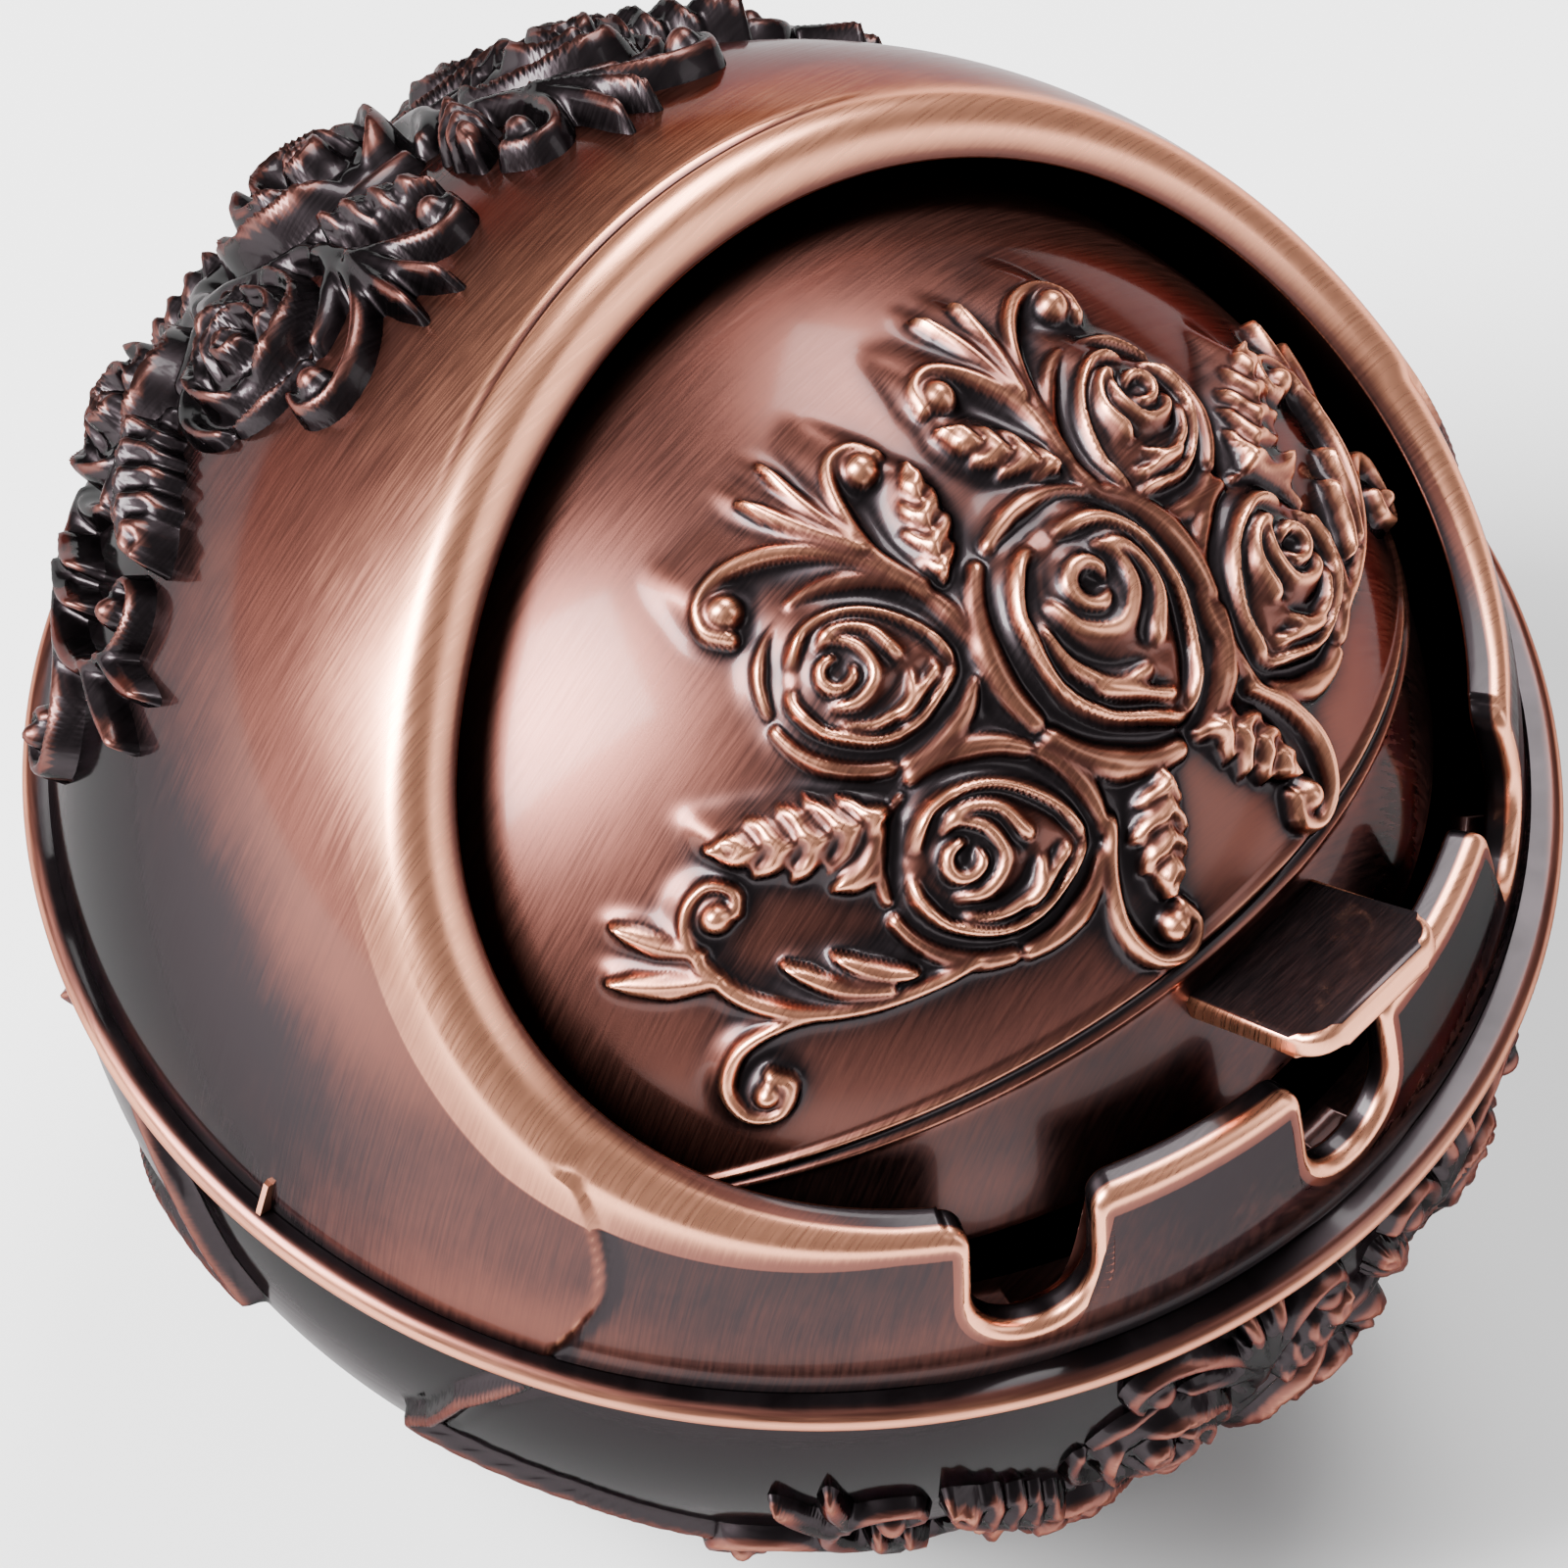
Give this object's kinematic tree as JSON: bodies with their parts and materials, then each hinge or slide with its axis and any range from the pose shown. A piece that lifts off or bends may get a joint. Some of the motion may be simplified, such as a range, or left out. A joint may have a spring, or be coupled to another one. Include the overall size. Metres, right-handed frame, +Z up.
{
  "type": "lidded ashtray",
  "caption": "Ball-shaped cast metal ashtray in antique copper with a rotating visor lid, cigarette rests and raised rose ornament.",
  "frame": {"origin": "centre of the foot on the table, under the centre of the ball", "axes": "+Z up, the cigarette rests and the lid's thumb tab face -Y, the lid's hinge lies along X"},
  "size_m": [0.1034, 0.1034, 0.0945],
  "materials": {
    "antique_copper_bowl": "antique copper plate, brushed and lacquered, dark in the recesses",
    "antique_copper_shell": "antique copper plate, brushed and lacquered, dark in the recesses",
    "antique_copper_lid": "antique copper plate, brushed and lacquered, dark in the recesses",
    "foam_pad": "matt foam",
    "silicone": "matt",
    "screw_steel": "zinc plated",
    "spring_steel": "bright",
    "nylon": "natural nylon"
  },
  "bodies": {
    "bowl": {"lower_bowl": "antique_copper_bowl", "base_pad": "foam_pad"},
    "shell": {"upper_shell": "antique_copper_shell", "seal_ring": "silicone", "pivot_screw_left": "screw_steel", "pivot_screw_right": "screw_steel", "thrust_washer_left": "nylon", "thrust_washer_right": "nylon", "spring_washer_left": "spring_steel", "spring_washer_right": "spring_steel"},
    "lid": {"lid_dome": "antique_copper_lid", "thumb_tab": "antique_copper_lid"}
  },
  "joints": [
    {"name": "shell_lift", "type": "slide", "parent": "bowl", "child": "shell", "axis": [0, 0, 1], "range_m": [0, 0.03]},
    {"name": "lid_turn", "type": "hinge", "parent": "shell", "child": "lid", "pos_m": [0, 0, 0.047], "axis": [-1, 0, 0], "range_deg": [0, 78]}
  ]
}
